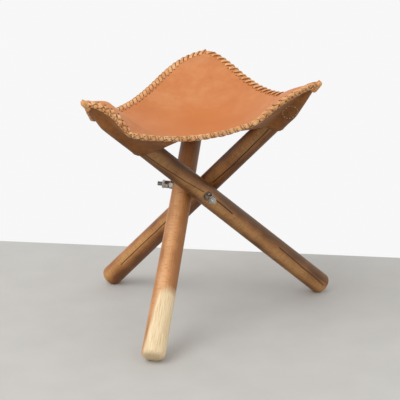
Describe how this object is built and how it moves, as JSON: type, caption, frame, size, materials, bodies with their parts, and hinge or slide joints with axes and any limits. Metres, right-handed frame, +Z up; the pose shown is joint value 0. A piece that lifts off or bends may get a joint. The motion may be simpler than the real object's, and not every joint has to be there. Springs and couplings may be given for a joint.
{
  "type": "three leg stool",
  "caption": "Folding tripod stool: round turned wooden legs crossed on a three-way bolt, with a dished leather seat laced round its edge and corner pockets over the leg tops.",
  "frame": {"origin": "middle of the stool's box at floor level, under the seat", "axes": "+Z up from the floor; -Y towards the front, where one foot stands; +X to the stool's right as seen from the front"},
  "size_m": [0.437, 0.4728, 0.4441],
  "materials": {
    "leg_wood": "oiled hardwood, satin",
    "seat_leather": "vegetable tanned, satin",
    "pocket_leather": "vegetable tanned, matt",
    "lace_leather": "flat leather lace, satin",
    "bolt_steel": "zinc plated",
    "zinc_hardware": "zinc plated"
  },
  "bodies": {
    "hub": {"three_way_bolt": "bolt_steel", "seat_panel": "seat_leather", "lace_front_edge": "lace_leather", "lace_right_edge": "lace_leather", "lace_left_edge": "lace_leather", "washer_front": "zinc_hardware", "inner_nut_front": "zinc_hardware", "spring_washer_front": "zinc_hardware", "outer_nut_front": "zinc_hardware", "jam_nut_front": "zinc_hardware", "washer_right": "zinc_hardware", "inner_nut_right": "zinc_hardware", "spring_washer_right": "zinc_hardware", "outer_nut_right": "zinc_hardware", "jam_nut_right": "zinc_hardware", "washer_left": "zinc_hardware", "inner_nut_left": "zinc_hardware", "spring_washer_left": "zinc_hardware", "outer_nut_left": "zinc_hardware", "jam_nut_left": "zinc_hardware"},
    "front_leg": {"leg_front": "leg_wood", "pocket_front": "pocket_leather", "tip_knot_front": "lace_leather"},
    "right_leg": {"leg_right": "leg_wood", "pocket_right": "pocket_leather", "tip_knot_right": "lace_leather"},
    "left_leg": {"leg_left": "leg_wood", "pocket_left": "pocket_leather", "tip_knot_left": "lace_leather"}
  },
  "joints": [
    {"name": "front_leg_fold", "type": "hinge", "parent": "hub", "child": "front_leg", "pos_m": [-0.03482, 0.01313, 0.23525], "axis": [0.994, 0.0063, -0.1096], "range_deg": [0, 49.23]},
    {"name": "right_leg_fold", "type": "hinge", "parent": "hub", "child": "right_leg", "pos_m": [0.00529, -0.00987, 0.22949], "axis": [-0.497, 0.8614, 0.1046], "range_deg": [0, 51], "deforming": ["seat_panel", "lace_front_edge", "lace_right_edge", "lace_left_edge", "pocket_front", "pocket_right", "pocket_left"]},
    {"name": "left_leg_fold", "type": "hinge", "parent": "hub", "child": "left_leg", "pos_m": [0.00529, 0.03665, 0.23217], "axis": [-0.497, -0.8677, 0.0049], "range_deg": [0, 40.07]}
  ],
  "couplings": [
    {"joint": "front_leg_fold", "follows": "right_leg_fold", "ratio": 0.96139},
    {"joint": "left_leg_fold", "follows": "right_leg_fold", "ratio": 0.78185}
  ]
}
